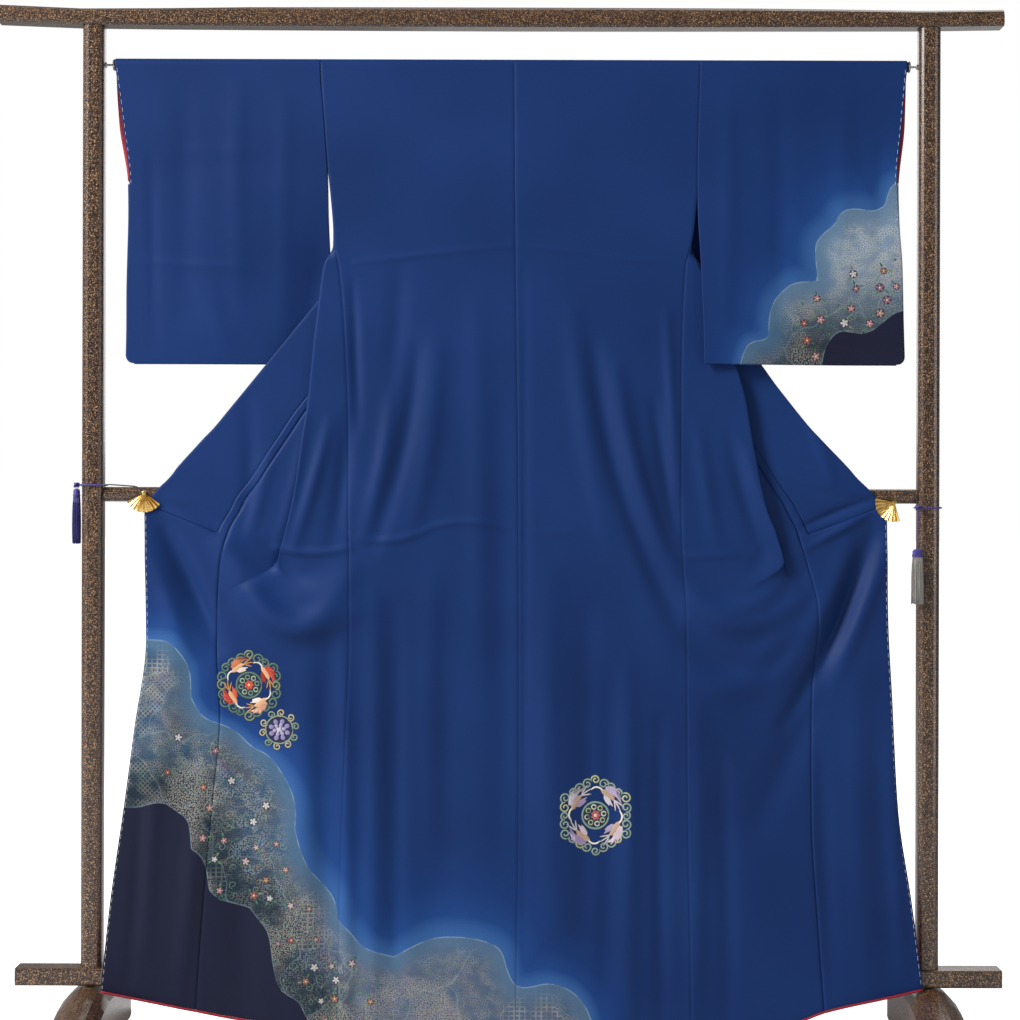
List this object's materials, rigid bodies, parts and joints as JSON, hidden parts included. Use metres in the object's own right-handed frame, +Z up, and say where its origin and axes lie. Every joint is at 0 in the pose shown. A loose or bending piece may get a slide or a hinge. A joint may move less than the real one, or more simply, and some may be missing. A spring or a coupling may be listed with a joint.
{
  "type": "homongi kimono on a display stand",
  "caption": "A blue silk homongi kimono shown from its back, spread and hung on a speckled lacquer stand, with its fronts held out by gold fan clips",
  "frame": {"origin": "on the floor under the middle of the stand's bounding box, in the plane of the posts", "axes": "+X to the viewer's right along the beams, -Y towards a viewer who faces the garment's back, +Z up"},
  "size_m": [1.639, 0.42, 1.692],
  "materials": {
    "silk": "satin",
    "red_silk": "satin",
    "lacquer": "gloss",
    "rod_steel": "satin",
    "pin_steel": "satin",
    "gold": "satin",
    "black_cord": "matte",
    "purple_cord": "matte",
    "grey_silk": "matte"
  },
  "bodies": {
    "root": {"back_left": "silk", "front_left": "silk", "back_right": "silk", "front_right": "silk", "clip_cord_left": "black_cord", "clip_cord_right": "black_cord", "collar_left": "silk", "collar_right": "silk", "cord_knot_left": "purple_cord", "cord_knot_right": "purple_cord", "cuff_lining_left": "red_silk", "cuff_lining_right": "red_silk", "fan_jaw_left": "gold", "fan_jaw_right": "gold", "fan_left": "gold", "fan_pivot_left": "gold", "fan_pivot_right": "gold", "fan_right": "gold", "foot_left": "lacquer", "foot_right": "lacquer", "hem_roll_left": "red_silk", "hem_roll_right": "red_silk", "lower_beam": "lacquer", "middle_rail": "lacquer", "okumi_left": "silk", "okumi_right": "silk", "post_left": "lacquer", "post_loop_left": "purple_cord", "post_loop_right": "purple_cord", "post_right": "lacquer", "rod_pin_left": "pin_steel", "rod_pin_right": "pin_steel", "sleeve_left": "silk", "sleeve_right": "silk", "sleeve_rod": "rod_steel", "tassel_cord_right": "grey_silk", "tassel_left": "purple_cord", "tassel_right": "grey_silk", "top_beam": "lacquer"}
  },
  "joints": []
}
